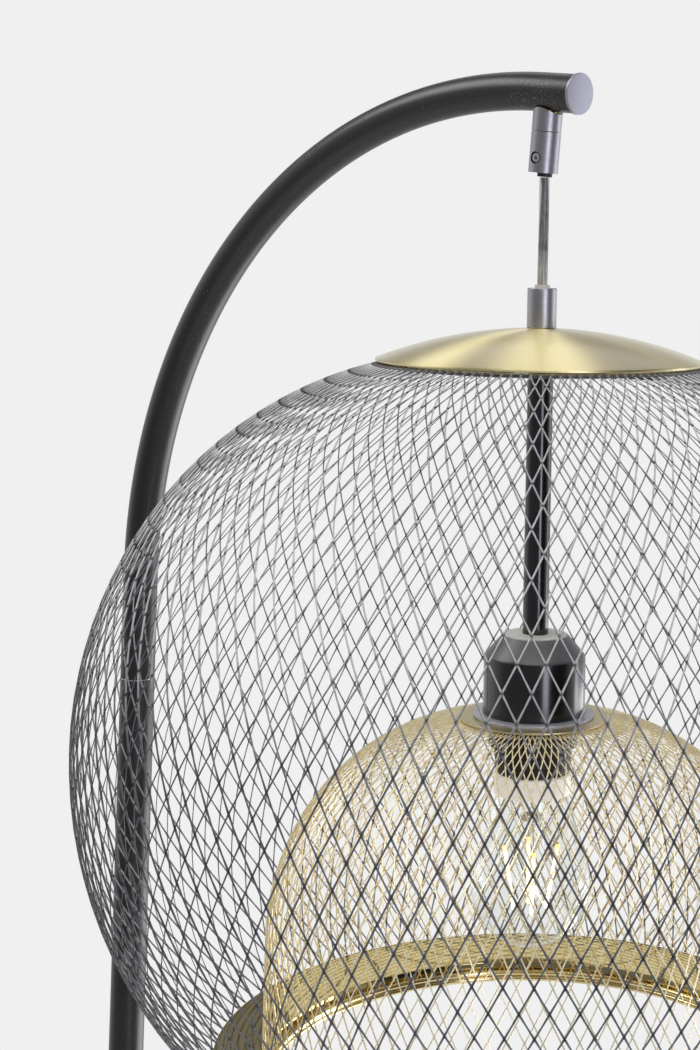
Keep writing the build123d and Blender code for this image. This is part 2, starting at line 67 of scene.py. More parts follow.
def add_node(tree, kind, inputs=None, stops=None, **settings):
    """Adds one shader node. A socket or node given as an input is linked, a node by its first output.
    Any other input is set on its own socket, and stops are the positions and colours of a ramp."""
    node = tree.nodes.new("ShaderNode" + kind)
    for name, value in settings.items():
        setattr(node, name, value)
    for name, value in (inputs or {}).items():
        value = value.outputs[0] if isinstance(value, bpy.types.Node) else value
        if isinstance(value, bpy.types.NodeSocket):
            tree.links.new(value, node.inputs[name])
        else:
            node.inputs[name].default_value = value
    for count, (position, code) in enumerate(stops or ()):
        marks = node.color_ramp.elements
        mark = marks[count] if count < 2 else marks.new(position)
        mark.position = position
        mark.color = linear(code)
    return node


def new_material(name):
    """Empty node material and its tree."""
    material = bpy.data.materials.new(name)
    material.use_nodes = True
    material.node_tree.nodes.clear()
    return material, material.node_tree


def surface(name, *sheets, crease=35):
    """One mesh from grids of points, rows x columns x 3: four neighbours make a face. A ring grid joins
    its last column to its first and a loop its last row to its first. Points at one place become one."""
    points = []
    faces = []
    start = 0
    for grid, ring, loop in sheets:
        rows, columns = grid.shape[:2]
        index = start + np.arange(rows * columns).reshape(rows, columns)
        index = np.hstack((index, index[:, :1])) if ring else index
        index = np.vstack((index, index[:1])) if loop else index
        cells = (index[:-1, :-1], index[:-1, 1:], index[1:, 1:], index[1:, :-1])
        faces.append(np.stack(cells, -1).reshape(-1, 4))
        points.append(grid.reshape(-1, 3))
        start += rows * columns
    mesh = bpy.data.meshes.new(name)
    mesh.from_pydata(np.vstack(points).tolist(), [], np.vstack(faces).tolist())
    shape = bmesh.new()
    shape.from_mesh(mesh)
    bmesh.ops.remove_doubles(shape, verts=shape.verts, dist=0.0005 * mm)
    bmesh.ops.dissolve_degenerate(shape, edges=shape.edges, dist=0.0005 * mm)
    bmesh.ops.recalc_face_normals(shape, faces=shape.faces)
    shape.to_mesh(mesh)
    shape.free()
    mesh.shade_smooth()
    mesh.set_sharp_from_angle(angle=math.radians(crease))
    piece = bpy.data.objects.new(name, mesh)
    scene.collection.objects.link(piece)
    return piece


paper = "#F0F0F0"
room_back = (-0.613, 0.790, 0.0)
dark_screen = (0.998, 0.07, 0.0)
world = bpy.data.worlds.new("pale_studio")
scene.world = world
world.use_nodes = True
tree = world.node_tree
tree.nodes.clear()
place = add_node(tree, "TexCoord")
sight = place.outputs["Generated"]
depth = add_node(tree, "VectorMath", {0: sight, 1: room_back}, operation="DOT_PRODUCT")
share = add_node(tree, "MapRange", {"Value": depth.outputs["Value"], "From Min": -1.0})
room = add_node(
    tree,
    "ValToRGB",
    {"Fac": share},
    stops=((0.0, "#7C7C80"), (1.0, paper), (0.35, "#8C8C90"), (0.62, "#E6E6E6")),
)
height = add_node(tree, "VectorMath", {0: sight, 1: (0.0, 0.0, 1.0)}, operation="DOT_PRODUCT")
ceiling = add_node(
    tree, "ValToRGB", {"Fac": height.outputs["Value"]}, stops=((0.2, "#FFFFFF"), (0.36, "#9C9CA0"))
)
aside = add_node(tree, "VectorMath", {0: sight, 1: dark_screen}, operation="DOT_PRODUCT")
screen = add_node(
    tree, "ValToRGB", {"Fac": aside.outputs["Value"]}, stops=((0.86, "#FFFFFF"), (0.95, "#55555A"))
)
both = add_node(tree, "VectorMath", {0: room, 1: ceiling}, operation="MULTIPLY")
room = add_node(tree, "VectorMath", {0: both, 1: screen}, operation="MULTIPLY")
ray = add_node(tree, "LightPath")
level = add_node(tree, "Math", {0: ray.outputs["Is Glossy Ray"], 1: 0.5, 2: 0.5}, operation="MULTIPLY_ADD")
light = add_node(tree, "Background", {"Color": room, "Strength": level})
view = add_node(tree, "Background", {"Color": linear(paper), "Strength": 1.0})
seen = add_node(
    tree,
    "Math",
    {0: ray.outputs["Is Camera Ray"], 1: ray.outputs["Is Transmission Ray"]},
    operation="MAXIMUM",
)
both = add_node(tree, "MixShader", {0: seen, 1: light, 2: view})
add_node(tree, "OutputWorld", {"Surface": both})

floor_reach = 2.2
ring = np.linspace(0, 2 * np.pi, 96, endpoint=False)
reach = np.linspace(0, 1, 25)[:, None] * floor_reach
floor_grid = np.stack((reach * np.cos(ring), reach * np.sin(ring), 0 * reach * ring - 0.5 * mm), -1)
floor = surface("floor", (floor_grid, True, False))

# Matt paper floor: shows the soft shadow near the lamp and fades into the room's own pale tone.
floor_paper, tree = new_material("matt_paper_floor")
place = add_node(tree, "TexCoord")
away = add_node(tree, "VectorMath", {0: place.outputs["Object"]}, operation="LENGTH")
fade = add_node(
    tree,
    "MapRange",
    {"Value": away.outputs["Value"], "From Min": 0.9, "From Max": 2.0},
    interpolation_type="SMOOTHSTEP",
)
ray = add_node(tree, "LightPath")
seen = add_node(tree, "Math", {0: ray.outputs["Is Camera Ray"], 1: fade}, operation="MULTIPLY")
tone = add_node(tree, "TexNoise", {"Vector": place.outputs["Object"], "Scale": 3.0, "Detail": 2.0})
shade = add_node(tree, "ValToRGB", {"Fac": tone}, stops=((0.3, "#E4E4E3"), (0.7, "#EBEBEA")))
matt = add_node(tree, "BsdfDiffuse", {"Color": shade})
glow = add_node(tree, "Emission", {"Color": linear(paper), "Strength": 1.0})
both = add_node(tree, "MixShader", {0: seen, 1: matt, 2: glow})
add_node(tree, "OutputMaterial", {"Surface": both})
floor.data.materials.append(floor_paper)

# Lamp panels: a small one high on the left, a wide one above, two narrow upright ones on the
# right, a broad one high behind, which pales every surface seen at a flat angle, a low one behind for
# the rim under the arch, and one below the shade that faces down and lights the floor.
shade_middle = np.array((0.30237, 0.00155, 1.21921))
panels = (
    ("panel_left", (-0.87, -0.66, 2.55), (0.8, 0.8), 10.0, "#FFFFFF"),
    ("panel_above", (0.78, -0.6, 2.85), (1.5, 1.5), 19.0, "#FFFFFF"),
    ("panel_right", (2.35, -0.95, 1.45), (0.5, 1.9), 16.0, "#EEEEFF"),
    ("panel_side", (1.5, 2.0, 1.5), (0.5, 1.8), 8.0, "#E6E6FF"),
    ("panel_back", (-0.83, 1.4, 2.95), (1.3, 1.1), 4.0, "#FFFFFF"),
    ("panel_low", (0.6, 1.15, 0.4), (1.2, 1.2), 15.0, "#FFFFFF"),
    ("panel_floor", (0.1, 0.0, 0.95), (4.0, 4.0), 25.0, "#FFFFFF"),
)
for name, spot, size, watts, code in panels:
    panel = bpy.data.lights.new(name, "AREA")
    panel.shape = "RECTANGLE"
    panel.size, panel.size_y = size
    panel.energy = watts
    panel.color = linear(code)[:3]
    holder = bpy.data.objects.new(name, panel)
    scene.collection.objects.link(holder)
    mark = (spot[0], spot[1], 0.0) if name == "panel_floor" else shade_middle
    turn = (Vector(mark) - Vector(spot)).to_track_quat("-Z", "Y")
    holder.matrix_world = Matrix.Translation(spot) @ turn.to_matrix().to_4x4()
    holder.visible_camera = False

# Camera: stands near the lamp at the arch's height and looks level, with the frame shifted down.
# Worked out from the straight pole, the round shade and the tube's own width.
eye = (0.921358, -0.763178, 1.461029)
yaw, pitch, roll = (math.radians(a) for a in (127.827, 3.021, 1.093))
focal_px, middle_x, middle_y = 1937.376, 584.391, 143.809
image_w, image_h, sensor = 700, 1050, 36.0
ahead = np.array((math.cos(yaw) * math.cos(pitch), math.sin(yaw) * math.cos(pitch), math.sin(pitch)))
level_right = np.array((math.sin(yaw), -math.cos(yaw), 0.0))
level_up = np.cross(level_right, ahead)
right = level_right * math.cos(roll) + level_up * math.sin(roll)
up = level_up * math.cos(roll) - level_right * math.sin(roll)
camera = bpy.data.cameras.new("camera")
camera.sensor_width = sensor
camera.lens = focal_px / image_h * sensor
camera.shift_x = (image_w / 2 - middle_x) / image_h
camera.shift_y = (middle_y - image_h / 2) / image_h
stand = bpy.data.objects.new("camera", camera)
scene.collection.objects.link(stand)
turn = Matrix((right, up, -ahead)).transposed()
stand.matrix_world = Matrix.Translation(eye) @ turn.to_4x4()
scene.camera = stand

# Base: a pressed steel cover over a heavy cast disc, on a felt pad.
# A stud comes up through the middle and the pole screws down on it.


def soften(corners, radius, steps=5):
    """Rounds the corners of a closed outline: corner + (1 - u)^2 back + u^2 ahead, where back and ahead
    reach one radius along the two sides and u runs from 0 to 1."""
    corner = np.asarray(corners, float)
    size = np.broadcast_to(np.asarray(radius, float), len(corner))[:, None]
    back = np.roll(corner, 1, 0) - corner
    ahead = np.roll(corner, -1, 0) - corner
    back_length = np.linalg.norm(back, axis=1, keepdims=True)
    ahead_length = np.linalg.norm(ahead, axis=1, keepdims=True)
    side_share = 0.48
    back = back / back_length * np.minimum(size, side_share * back_length)
    ahead = ahead / ahead_length * np.minimum(size, side_share * ahead_length)
    u = np.linspace(0, 1, steps)[None, :, None]
    curve = corner[:, None] + (1 - u) ** 2 * back[:, None] + u**2 * ahead[:, None]
    return curve.reshape(-1, 2)


def turned_grid(outline, origin=(0, 0, 0), basis=np.eye(3), turns=96):
    """Lathe grid: each (radius, height) in mm goes round the axis, radius times (cos, sin) and height."""
    angle = np.linspace(0, 2 * np.pi, turns, endpoint=False)
    circle = np.stack((np.cos(angle), np.sin(angle), 0 * angle), -1)
    local = outline[:, None, :1] * circle + outline[:, None, 1:] * np.array((0, 0, 1.0))
    return np.asarray(origin) + (local * mm) @ basis


def fit(piece, body, slot, material, *replaced):
    """Gives a new piece its material and its moving body, and hides the nodes it stands for. slot is not
    used.
    """
    piece.data.materials.append(material)
    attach(piece, body)
    if replaced:
        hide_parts(*replaced)


def coat(material, *names):
    """Puts a material on CAD nodes that are shown as they are."""
    for name in names:
        for part in nodes[name].material_slots:
            part.material = material


def clouded(name, cloud, detail, tints, shading, gloss=None, relief=None):
    """Material of one noise with clouds of a real size: the noise picks the tint between two stops, the
    roughness between the two ends of gloss, and the height of a relief of given strength and depth."""
    material, tree = new_material(name)
    place = add_node(tree, "TexCoord")
    noise = add_node(
        tree, "TexNoise", {"Vector": place.outputs["Object"], "Scale": 1 / cloud, "Detail": detail}
    )
    tint = add_node(tree, "ValToRGB", {"Fac": noise}, stops=tints)
    sockets = {"Base Color": tint, **shading}
    if gloss:
        rough = add_node(tree, "MapRange", {"Value": noise, "To Min": gloss[0], "To Max": gloss[1]})
        sockets["Roughness"] = rough
    if relief:
        bump = add_node(tree, "Bump", {"Height": noise, "Strength": relief[0], "Distance": relief[1]})
        sockets["Normal"] = bump
    shader = add_node(tree, "BsdfPrincipled", sockets)
    add_node(tree, "OutputMaterial", {"Surface": shader})
    return material


base_r, base_top, base_low, cover_sheet, cover_edge = 150.0, 17.2, 1.0, 1.2, 5.0
stud_hole = 5.1
cover_outline = soften(
    (
        (stud_hole, base_top),
        (base_r, base_top),
        (base_r, base_low),
        (base_r - cover_sheet, base_low),
        (base_r - cover_sheet, base_top - cover_edge - cover_sheet),
        (base_r - cover_edge - cover_sheet, base_top - cover_sheet),
        (stud_hole, base_top - cover_sheet),
    ),
    (0.1, 7.0, 0.4, 0.1, 1.0, 1.0, 0.1),
    steps=9,
)
base_cover = surface("base_cover_pressed", (turned_grid(cover_outline, turns=192), True, True))

# Black powder coat on steel: satin, with a fine orange peel, so highlights blur softly. Near the
# hanger the coat shows pale specks: partly rubbed coat, partly painted highlight speckle where the arm's end
# catches the light.
peel_size, mottle_size, speck_size, rub_reach = 1.4 * mm, 40 * mm, 0.9 * mm, 60 * mm
rub_middle = np.mean(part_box("hanger_nipple"), axis=0)
powder_coat, tree = new_material("powder_coat_satin_black")
place = add_node(tree, "TexCoord")
spot = place.outputs["Object"]
mottle = add_node(tree, "TexNoise", {"Vector": spot, "Scale": 1 / mottle_size, "Detail": 4.0})
tint = add_node(tree, "ValToRGB", {"Fac": mottle}, stops=((0.3, "#0E0E0F"), (0.7, "#161617")))
# Painted highlight speckle, partly rubbed coat: pale specks within rub_reach of the hanger.
away = add_node(tree, "VectorMath", {0: spot, 1: tuple(rub_middle)}, operation="DISTANCE")
rub_and_highlight = add_node(tree, "MapRange", {"Value": away.outputs["Value"], "From Max": rub_reach})
rub_and_highlight = add_node(tree, "ValToRGB", {"Fac": rub_and_highlight}, stops=((0.3, "#FFFFFF"), (1.0, "#000000"), (0.45, "#A0A0A0")))
specks_and_glints = add_node(tree, "TexNoise", {"Vector": spot, "Scale": 1 / speck_size, "Detail": 2.0})
specks_and_glints = add_node(tree, "Math", {0: rub_and_highlight, 1: 0.1, 2: specks_and_glints}, operation="MULTIPLY_ADD")
specks_and_glints = add_node(tree, "ValToRGB", {"Fac": specks_and_glints}, stops=((0.66, "#000000"), (0.78, "#6C6C68")))
tint = add_node(tree, "VectorMath", {0: tint, 1: specks_and_glints}, operation="ADD")
gloss = add_node(tree, "MapRange", {"Value": mottle, "To Min": 0.34, "To Max": 0.42})
peel = add_node(tree, "TexNoise", {"Vector": spot, "Scale": 1 / peel_size, "Detail": 2.0})
bump = add_node(tree, "Bump", {"Height": peel, "Strength": 0.4, "Distance": 0.04 * mm})
shader = add_node(
    tree,
    "BsdfPrincipled",
    {
        "Base Color": tint,
        "Roughness": gloss,
        "Normal": bump,
        "Specular IOR Level": 0.7,
    },
)
add_node(tree, "OutputMaterial", {"Surface": shader})
fit(base_cover, "stand", "black_coat", powder_coat, "base_cover")

# Raw cast iron of the weight: dark brown-grey with a coarse sand-cast skin, seen only from below.
cast_iron = clouded(
    "raw_cast_iron",
    2 * mm,
    6.0,
    ((0.3, "#2B2A29"), (0.7, "#413E3B")),
    {"Roughness": 0.75},
    relief=(0.6, 0.3 * mm),
)
coat(cast_iron, "base_weight")

# Needle felt: dull grey-black fibres that scatter light, with a soft nap.
felt = clouded(
    "needle_felt",
    0.8 * mm,
    8.0,
    ((0.35, "#1D1D1E"), (0.7, "#3C3B3A")),
    {"Roughness": 0.95, "Sheen Weight": 0.3},
    relief=(0.8, 0.5 * mm),
)
coat(felt, "base_pad")

# Zinc-plated steel: cool bright grey with cloudy plating that breaks up its gloss.
zinc_tints = ((0.3, "#B9BABD"), (0.7, "#D6D6D6"))
zinc = clouded("zinc_plated_steel", 6 * mm, 5.0, zinc_tints, {"Metallic": 1.0}, gloss=(0.25, 0.4))
coat(zinc, "base_stud", "base_washer", "base_nut", "pole_foot_plug", "pole_spigots")
coat(zinc, "cup_nut", "grip_screw")

# Moulded black nylon and PVC: dull black with a fine moulding grain.
nylon = clouded(
    "moulded_black_nylon",
    0.6 * mm,
    3.0,
    ((0.3, "#232325"), (0.7, "#2E2E31")),
    {"Roughness": 0.5},
    relief=(0.3, 0.03 * mm),
)
coat(nylon, "lead_grommet", "pole_lead", "grip_collar")

# Blackened steel of the coupler's clamp screw: dark oxide with a dull oily sheen.
black_oxide = clouded(
    "black_oxide_steel",
    1.5 * mm,
    3.0,
    ((0.3, "#5A5A5C"), (0.7, "#747476")),
    {"Metallic": 1.0, "Roughness": 0.32},
)
coat(black_oxide, "coupler_screw")

# Pole: two straight steel tubes, powder coated black.
# They are pushed on turned spigots, whose thin bright lips show at the seams.
tube_r, tube_wall, lip_half, seam_low, seam_high = 10.0, 1.5, 0.25, 608.6, 1200.0
for name, low, high in (
    ("pole_lower", base_top, seam_low - lip_half),
    ("pole_upper", seam_low + lip_half, seam_high - lip_half),
):
    wall = ((tube_r - tube_wall, low), (tube_r, low), (tube_r, high), (tube_r - tube_wall, high))
    tube = surface(name + "_tube", (turned_grid(soften(wall, 0.35)), True, True))
    fit(tube, "stand", "black_coat", powder_coat, name)

# Arch: one steel tube bent round past level, with a short straight tail.
# A flat satin disc on a plug closes its end.
bend_r, bend_sweep, bend_z, arch_tail = 278.5, math.radians(94.7), 1261.5, 24.5
end_disc, end_r, tube_edge = 1.5, 10.7, 0.3
along = np.array((math.sin(bend_sweep), 0, math.cos(bend_sweep)))
across = np.array((0, 1.0, 0))
square = np.cross(along, across)


def bent_tube(low, tail, radius, edge):
    """Round section carried along the arch's centre line: straight up the pole, round the bend by
    (R - R cos t, R sin t), then straight. The first and last rings shrink by an edge and to a point."""
    rise = np.linspace(low, bend_z, 8)[:-1]
    turn = np.linspace(0, bend_sweep, 121)
    bend = np.stack((bend_r * (1 - np.cos(turn)), 0 * turn, bend_z + bend_r * np.sin(turn)), -1)
    run = np.linspace(0, tail, 5)[1:, None]
    middle = np.vstack((np.stack((0 * rise, 0 * rise, rise), -1), bend, bend[-1] + run * along))
    heading = np.concatenate((0 * rise, turn, np.full(4, bend_sweep)))
    side = np.stack((-np.cos(heading), 0 * heading, np.sin(heading)), -1)
    angle = np.linspace(0, 2 * np.pi, 96, endpoint=False)
    section = np.cos(angle)[:, None] * side[:, None] + np.sin(angle)[:, None] * across
    thick = np.full(len(middle), radius)
    first, last = middle[0], middle[-1]
    middle = np.vstack((first, first, first + (0, 0, edge), middle[1:-1], last - edge * along, last, last))
    thick = np.concatenate(((0, radius - edge, radius), thick[1:-1], (radius, radius - edge, 0)))
    section = section[[0, 0, 0, *range(1, len(section) - 1), -1, -1, -1]]
    return (middle[:, None] + thick[:, None, None] * section) * mm


arch_grid = bent_tube(seam_high + lip_half, arch_tail - end_disc, tube_r, tube_edge)
arch = surface("arch_bent_tube", (arch_grid, True, False))
fit(arch, "stand", "black_coat", powder_coat, "arch_tube")
bend_end = np.array((bend_r * (1 - math.cos(bend_sweep)), 0, bend_z + bend_r * math.sin(bend_sweep)))
tail_end = bend_end + along * arch_tail
end_outline = soften(((0, 0), (end_r, 0), (end_r, -end_disc), (0, -end_disc)), (0, 0.5, 0.3, 0))
end_basis = np.array((square, across, along))
end_cap = surface("arch_end_disc", (turned_grid(end_outline, tail_end * mm, end_basis), True, False))

# Satin anodised aluminium: cool lilac grey, evenly blasted, so the whole disc takes one soft tone.
satin_disc = clouded(
    "anodised_aluminium_blasted",
    0.5 * mm,
    3.0,
    ((0.3, "#9A9AA1"), (0.7, "#A7A7AE")),
    {"Metallic": 0.8, "Roughness": 0.42},
    relief=(0.3, 0.03 * mm),
)
fit(end_cap, "stand", "gunmetal", satin_disc, "arch_end_cap")

# Hanger: a coped saddle and a cord grip, turned from bar and screwed on a brass nipple under the tube.
# A socket screw in the grip's side pinches the cable, which leaves through a small nylon collar.
setback, hanger_r, saddle_length, stand_off, nipple_hole = 19.9, 7.6, 10.2, 0.8, 5.1
cope_rings, saddle_edge = (6.6, 5.8), 0.35
hang_point = tail_end - along * setback
hang_basis = np.array((along, across, -square if square[2] < 0 else square))


def saddle_grid(edge):
    """Closed section round the saddle: flat foot, straight side, and a top that follows the tube,
    height = -sqrt(cope^2 - (radius sin angle)^2), with both outer edges eased."""
    angle = np.linspace(0, 2 * np.pi, 128, endpoint=False)
    eased = hanger_r - edge
    rings = np.array((nipple_hole, eased, hanger_r, hanger_r, eased, *cope_rings, nipple_hole))
    radius = np.broadcast_to(rings[:, None], (len(rings), len(angle)))
    cope = -np.sqrt((tube_r + stand_off) ** 2 - (radius * np.sin(angle)) ** 2)
    foot = np.full(len(angle), -(tube_r + saddle_length))
    height = np.stack((foot, foot, foot + edge, cope[3] - edge, *cope[4:]))
    local = np.stack((radius * np.cos(angle), radius * np.sin(angle), height), -1)
    return hang_point * mm + (local * mm) @ hang_basis


saddle = surface("saddle_coped", (saddle_grid(saddle_edge), True, True))

# Gunmetal aluminium, turned then anodised: smoky grey, with fine lathe lines round the axis
# that spread each light into a soft upright band. Painted shade: black round the socket screw, where the
# recess lies in shadow.
# The lines are drawn 0.45 mm apart so they show.
line_pitch, recess_r, screw_drop, screw_out = 0.45 * mm, 3.1 * mm, 33.6, 6.7
recess = (hang_point - screw_drop * hang_basis[2] - screw_out * hang_basis[1]) * mm
gunmetal, tree = new_material("anodised_aluminium_gunmetal")
place = add_node(tree, "TexCoord")
height = add_node(
    tree,
    "VectorMath",
    {0: place.outputs["Object"], 1: tuple(hang_basis[2] / line_pitch)},
    operation="DOT_PRODUCT",
)
lines = add_node(
    tree, "TexNoise", {"W": height.outputs["Value"], "Scale": 1.0, "Detail": 2.0}, noise_dimensions="1D"
)
tint = add_node(tree, "ValToRGB", {"Fac": lines}, stops=((0.25, "#A2A2A6"), (0.75, "#B6B6B9")))
away = add_node(tree, "VectorMath", {0: place.outputs["Object"], 1: tuple(recess)}, operation="DISTANCE")
# Painted shade: the tint falls to near black inside the recess round the screw.
painted_recess_shade = add_node(
    tree,
    "MapRange",
    {
        "Value": away.outputs["Value"],
        "From Min": 0.97 * recess_r,
        "From Max": 1.05 * recess_r,
        "To Min": 0.08,
    },
)
tint = add_node(tree, "VectorMath", {0: tint, "Scale": painted_recess_shade}, operation="SCALE")
bump = add_node(tree, "Bump", {"Height": lines, "Strength": 0.2, "Distance": 0.03 * mm})
shader = add_node(
    tree, "BsdfPrincipled", {"Base Color": tint, "Metallic": 1.0, "Roughness": 0.4, "Normal": bump}
)
add_node(tree, "OutputMaterial", {"Surface": shader})
fit(saddle, "stand", "gunmetal", gunmetal, "hanger_saddle")
coat(gunmetal, "cord_grip")

# Turned brass, bare: warm yellow with a faint cloud of tarnish, on the nipple, its nut, the threaded
# pipe and the lampholder's contacts.
raw_brass = clouded(
    "turned_brass_bare",
    3 * mm,
    4.0,
    ((0.3, "#C9A452"), (0.7, "#E0C078")),
    {"Metallic": 1.0, "Roughness": 0.25},
)
coat(raw_brass, "hanger_nipple", "hanger_nut", "holder_shell", "holder_contact", "lamp_pipe", "cap_spacer")
coat(raw_brass, "bulb_contact")

# Cable: a short smoky clear PVC sheath over two grey insulated wires, hanging plumb.
# It is gripped at both ends, so all its free length shows.
cable_d, cable_length = 5.3 * mm, 54.4 * mm
cable_top = np.array((0.30237, 0.00155, 1.49541))
cable_low = cable_top - (0, 0, cable_length)
cable_bow = np.array((0.25, -0.2, 0)) * mm
cable_route = (cable_top, cable_top * 0.55 + cable_low * 0.45 + cable_bow, cable_low)
route = bpy.data.curves.new("cable_route", "CURVE")
route.dimensions = "3D"
spline = route.splines.new("NURBS")
spline.points.add(len(cable_route) - 1)
spline.points.foreach_set("co", np.array([(*p, 1.0) for p in cable_route]).ravel())
spline.order_u = 3
spline.use_endpoint_u = True
spline.resolution_u = 16
route_object = bpy.data.objects.new("cable_route", route)
scene.collection.objects.link(route_object)
bpy.context.view_layer.update()
depsgraph = bpy.context.evaluated_depsgraph_get()
line_mesh = bpy.data.meshes.new_from_object(route_object.evaluated_get(depsgraph))
cable_line = np.zeros(len(line_mesh.vertices) * 3)
line_mesh.vertices.foreach_get("co", cable_line)
cable_line = cable_line.reshape(-1, 3)
bpy.data.objects.remove(route_object)
bpy.data.meshes.remove(line_mesh)


def round_cable(line, radius, sides=48, off=(0, 0)):
    """Level round section at each point of a plumb line, closed at both ends by a point."""
    angle = np.linspace(0, 2 * np.pi, sides, endpoint=False)
    circle = np.stack((np.cos(angle), np.sin(angle), 0 * angle), -1)
    middle = line + np.column_stack((np.broadcast_to(off, (len(line), 2)), np.zeros(len(line))))
    middle = np.vstack((middle[:1], middle, middle[-1:]))
    size = np.full(len(middle), radius)
    size[[0, -1]] = 0
    return middle[:, None] + size[:, None, None] * circle


sheath = surface("cable_sheath", (round_cable(cable_line, cable_d / 2), True, False), crease=60)
wire_d, wire_off, twist_pitch, first_turn = 1.75 * mm, 0.91 * mm, 170 * mm, 0.4
upward = cable_line[::-1]
inner_line = np.linspace(cable_line[0], cable_line[-1], 60)
bowed = np.stack([np.interp(inner_line[:, 2], upward[:, 2], upward[:, k]) for k in (0, 1, 2)], -1)
inner_line = (inner_line + bowed) / 2
wire_grids = []
for start in (first_turn, first_turn + math.pi):
    twist = start + 2 * np.pi * inner_line[:, 2] / twist_pitch
    off = np.stack((np.cos(twist), np.sin(twist)), -1) * wire_off
    wire_grids.append((round_cable(inner_line, wire_d / 2, 16, off), True, False))
wires = surface("cable_wires", *wire_grids, crease=60)

# Smoky clear PVC: see-through grey, slightly rippled, so the wires inside blur into streaks.
smoky = clouded(
    "smoky_clear_pvc",
    3 * mm,
    2.0,
    ((0.3, "#C0BFC3"), (0.7, "#D3D2D3")),
    {"Roughness": 0.12, "IOR": 1.53, "Transmission Weight": 0.85},
    relief=(0.3, 0.15 * mm),
)

# Grey PVC skin of the wires: mid grey, bleached to cream near the lower end, and on the nylon collar.
bleach_from, bleach_full = cable_low[2] + 20 * mm, cable_low[2] + 4 * mm
wire_skin, tree = new_material("pvc_wire_grey")
place = add_node(tree, "TexCoord")
grain = add_node(tree, "TexNoise", {"Vector": place.outputs["Object"], "Scale": 1 / (4 * mm), "Detail": 2.0})
axes = add_node(tree, "SeparateXYZ", {0: place.outputs["Object"]})
drop = add_node(
    tree, "MapRange", {"Value": axes.outputs["Z"], "From Min": bleach_from, "From Max": bleach_full}
)
bleach = add_node(tree, "Math", {0: grain, 1: 0.6, 2: drop}, operation="MULTIPLY_ADD")
tint = add_node(
    tree, "ValToRGB", {"Fac": bleach}, stops=((0.2, "#4E4D52"), (1.0, "#D8D2C4"), (0.4, "#78777B"))
)
shader = add_node(tree, "BsdfPrincipled", {"Base Color": tint, "Roughness": 0.4})
add_node(tree, "OutputMaterial", {"Surface": shader})
coat(wire_skin, "coupler_collar")
for piece, skin in ((sheath, smoky), (wires, wire_skin)):
    piece.data.materials.append(skin)
    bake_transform(piece)
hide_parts("suspension_cord")

# Coupler: a barrel turned from aluminium bar and anodised gunmetal.
# It clamps the cable at its top and screws on the shade's threaded pipe below.
coupler_r, coupler_low, coupler_length = 7.5, 1419.41, 20.0
shade_axis = shade_middle * (1, 1, 0)
coupler_outline = soften(
    (
        (0, coupler_low),
        (coupler_r, coupler_low),
        (coupler_r, coupler_low + coupler_length),
        (0, coupler_low + coupler_length),
    ),
    (0, 0.3, 0.6, 0),
)
coupler = surface("coupler_barrel", (turned_grid(coupler_outline, shade_axis, turns=128), True, False))
fit(coupler, "coupler", "gunmetal", gunmetal, "coupler_body")

# Cap: a shallow dome spun from brass-plated steel, with a short lip turned down over the mesh.
# It lies on the mesh's carrier and is clamped by the coupler through a hole in its middle.
centre = shade_middle
cap_r, cap_rise, cap_lip, cap_sheet, lip_seat, pipe_hole = 83.4, 16.1, 2.0, 1.2, 182.0, 5.1
lip_gap, dome_ease = 0.9, 0.4


def dome_line(rim, rise, low, hole):
    """Points of a round dome from hole to rim: height = low + rise - ball + sqrt(ball^2 - radius^2),
    where ball = (rim^2 + rise^2) / (2 rise)."""
    ball = (rim**2 + rise**2) / (2 * rise)
    radius = np.linspace(hole, rim, 49)
    return np.stack((radius, low + rise - ball + np.sqrt(ball**2 - radius**2)), -1)


dome_low = lip_seat + cap_lip
over = dome_line(cap_r, cap_rise, dome_low, pipe_hole)
under_low = dome_low - cap_sheet + dome_ease
under = dome_line(cap_r - cap_sheet, cap_rise - dome_ease, under_low, pipe_hole)[::-1]
lip_outline = soften(
    (
        over[-2],
        (cap_r, dome_low),
        (cap_r, lip_seat + lip_gap),
        (cap_r - cap_sheet, lip_seat + lip_gap),
        (cap_r - cap_sheet, dome_low - cap_sheet),
        under[1],
    ),
    (0, 0.35, 0.2, 0.2, 0.3, 0),
)
cap_outline = np.vstack((over[:-2], lip_outline, under[2:]))
cap = surface("cap_spun_dome", (turned_grid(cap_outline, centre, turns=256), True, True))

# Brushed brass plate under clear lacquer: pale yellow, brushed in rings as it span, so lights stretch
# into fans across the dome, and nearly white at a flat angle. The brush lines are drawn 0.7 mm apart
# so they show.
brush_pitch = 0.7 * mm
brass_brushed, tree = new_material("brushed_brass_plate")
place = add_node(tree, "TexCoord")
middle = add_node(
    tree,
    "Mapping",
    {"Vector": place.outputs["Object"], "Location": tuple(-centre * (1, 1, 0)), "Scale": (1.0, 1.0, 0.0)},
)
away = add_node(tree, "VectorMath", {0: middle}, operation="LENGTH")
ring_count = add_node(tree, "Math", {0: away.outputs["Value"], 1: 1 / brush_pitch}, operation="MULTIPLY")
lines = add_node(
    tree, "TexNoise", {"W": ring_count, "Scale": 1.0, "Detail": 3.0, "Roughness": 0.7}, noise_dimensions="1D"
)
tint = add_node(tree, "ValToRGB", {"Fac": lines}, stops=((0.2, "#DACA8C"), (0.8, "#EADEAC")))
gloss = add_node(tree, "MapRange", {"Value": lines, "To Min": 0.47, "To Max": 0.55})
bump = add_node(tree, "Bump", {"Height": lines, "Strength": 0.12, "Distance": 0.03 * mm})
grain = add_node(tree, "Tangent", direction_type="RADIAL", axis="Z")
